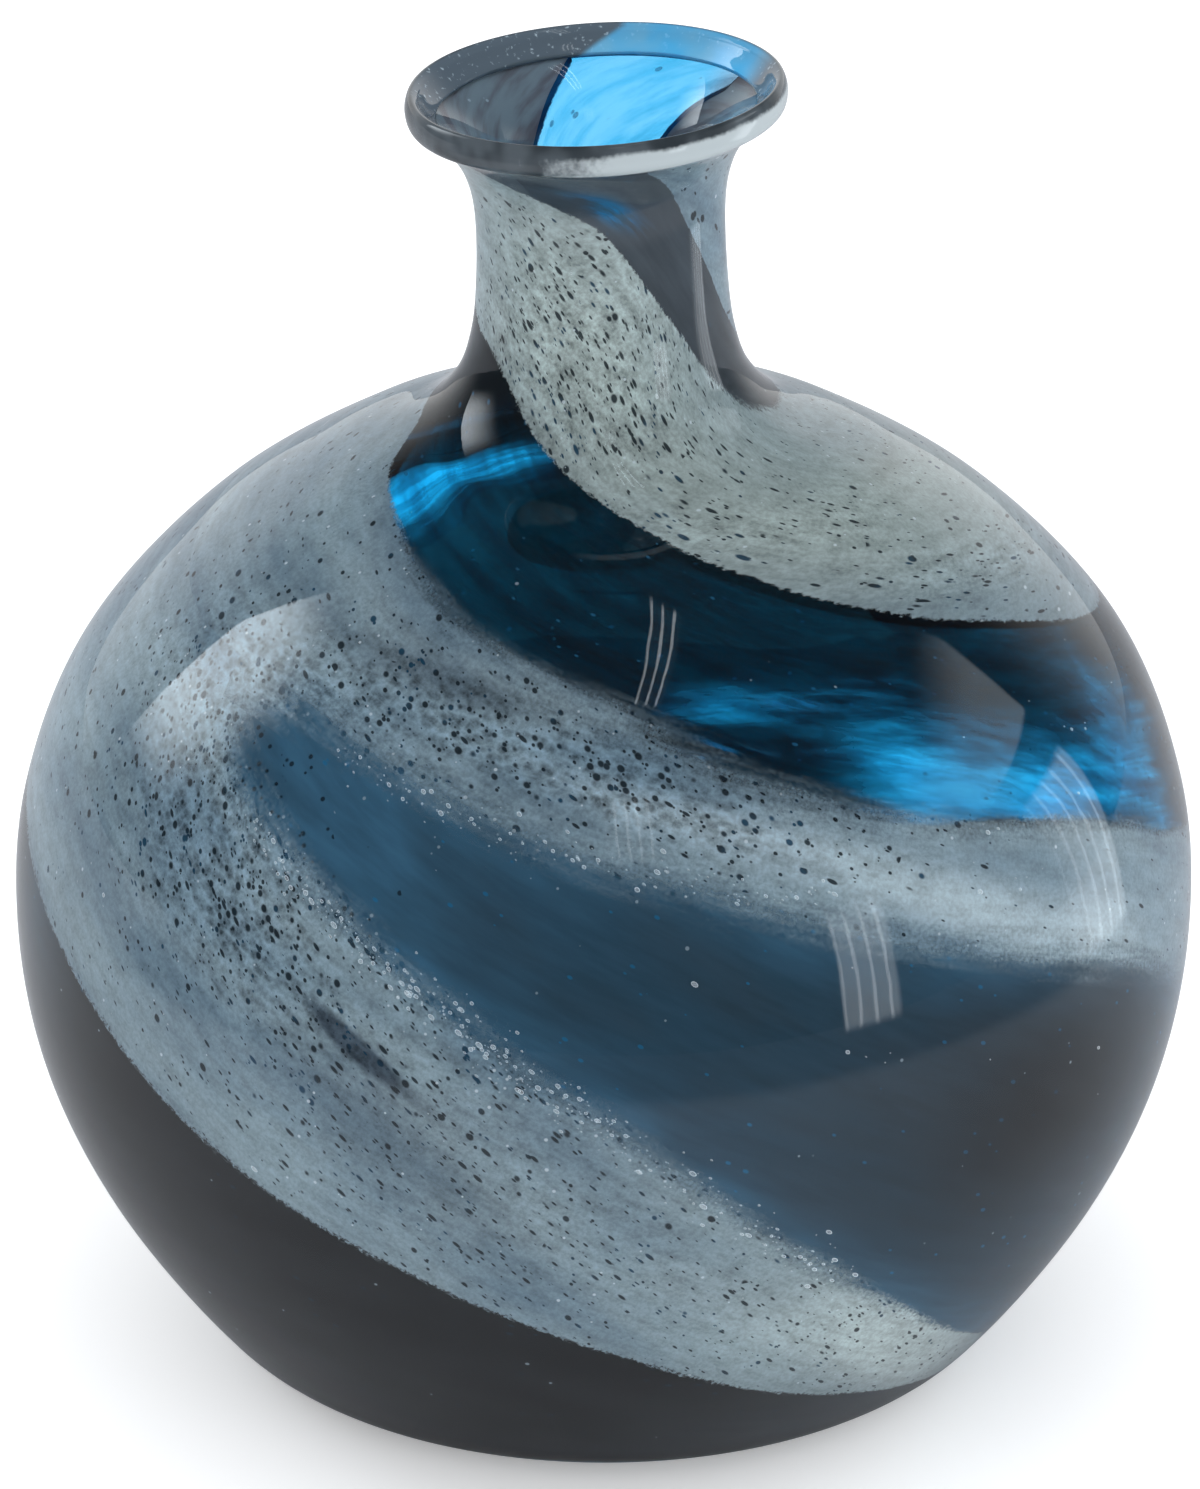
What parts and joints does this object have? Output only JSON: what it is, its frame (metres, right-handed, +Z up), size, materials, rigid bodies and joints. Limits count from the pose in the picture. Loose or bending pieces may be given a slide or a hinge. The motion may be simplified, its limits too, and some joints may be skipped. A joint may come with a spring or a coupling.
{
  "type": "blown glass vase",
  "caption": "Round-bodied blown glass vase with a short flared neck, dark rolled lip and twisting grey enamel trails over blue, slate and charcoal glass.",
  "frame": {"origin": "middle of the foot, on the surface the vase stands on", "axes": "+Z up along the body's axis, -Y the front with the slate stripe, +X the vase's right seen from the front"},
  "size_m": [0.23, 0.23, 0.258],
  "materials": {
    "clear_glass": "fire-polished clear glass",
    "blue_glass": "fire-polished transparent blue glass",
    "lip_glass": "fire-polished near-black blue glass",
    "grey_enamel": "opaque grey enamel glass with small dark pits, under clear glass",
    "azure_glass": "clear azure glass under clear glass",
    "smoke_glass": "dark smoke glass under clear glass",
    "cobalt_glass": "transparent cobalt glass under clear glass",
    "slate_glass": "slate-blue glass under clear glass",
    "charcoal_glass": "charcoal glass under clear glass"
  },
  "bodies": {
    "root": {"clear_casing": "clear_glass", "blue_bubble": "blue_glass", "lip_wrap": "lip_glass", "collar_enamel_trail": "grey_enamel", "main_enamel_trail": "grey_enamel", "branch_enamel_trail": "grey_enamel", "neck_azure_stripe": "azure_glass", "neck_smoke_stripe": "smoke_glass", "shoulder_cobalt_stripe": "cobalt_glass", "body_slate_stripe": "slate_glass", "base_charcoal_stripe": "charcoal_glass"}
  },
  "joints": []
}
